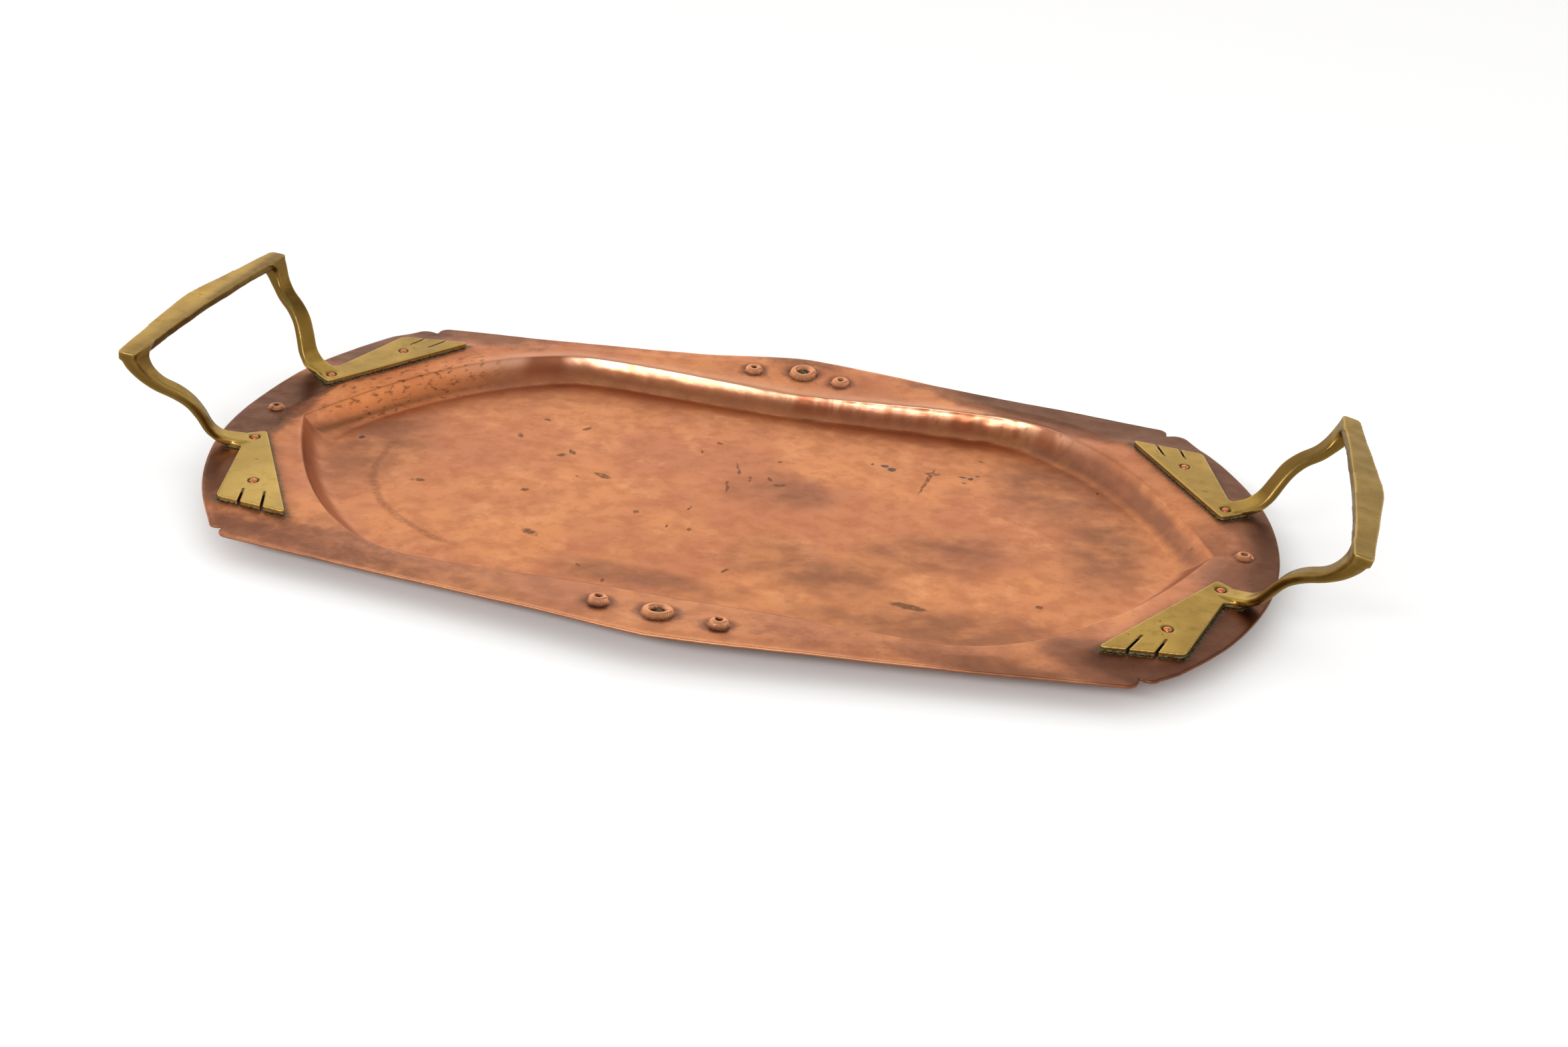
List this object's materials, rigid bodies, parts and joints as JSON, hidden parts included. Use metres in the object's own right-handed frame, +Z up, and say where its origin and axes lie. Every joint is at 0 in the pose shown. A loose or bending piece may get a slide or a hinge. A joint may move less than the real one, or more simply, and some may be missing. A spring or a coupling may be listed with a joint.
{
  "type": "serving tray",
  "caption": "Oblong copper serving tray with a sunk well, domed bosses, a wavy rim edge, and a raised brass handle riveted on at each end",
  "frame": {"origin": "centre of the well's underside, on the table the tray rests on", "axes": "+X along the tray to the right handle, +Y to the back, +Z up"},
  "size_m": [0.5808, 0.324, 0.0666],
  "materials": {
    "copper_sheet": "hand-planished copper, brown patina around the bosses and at the ends",
    "handle_brass": "satin cast brass, darkened in the corners, verdigris along the feet",
    "rivet_copper": "worn copper, dark ring around each head"
  },
  "bodies": {
    "root": {"tray": "copper_sheet", "left_handle": "handle_brass", "right_handle": "handle_brass", "rivet_left_front_elbow": "rivet_copper", "rivet_left_front_wing": "rivet_copper", "rivet_left_back_elbow": "rivet_copper", "rivet_left_back_wing": "rivet_copper", "rivet_right_front_elbow": "rivet_copper", "rivet_right_front_wing": "rivet_copper", "rivet_right_back_elbow": "rivet_copper", "rivet_right_back_wing": "rivet_copper"}
  },
  "joints": []
}
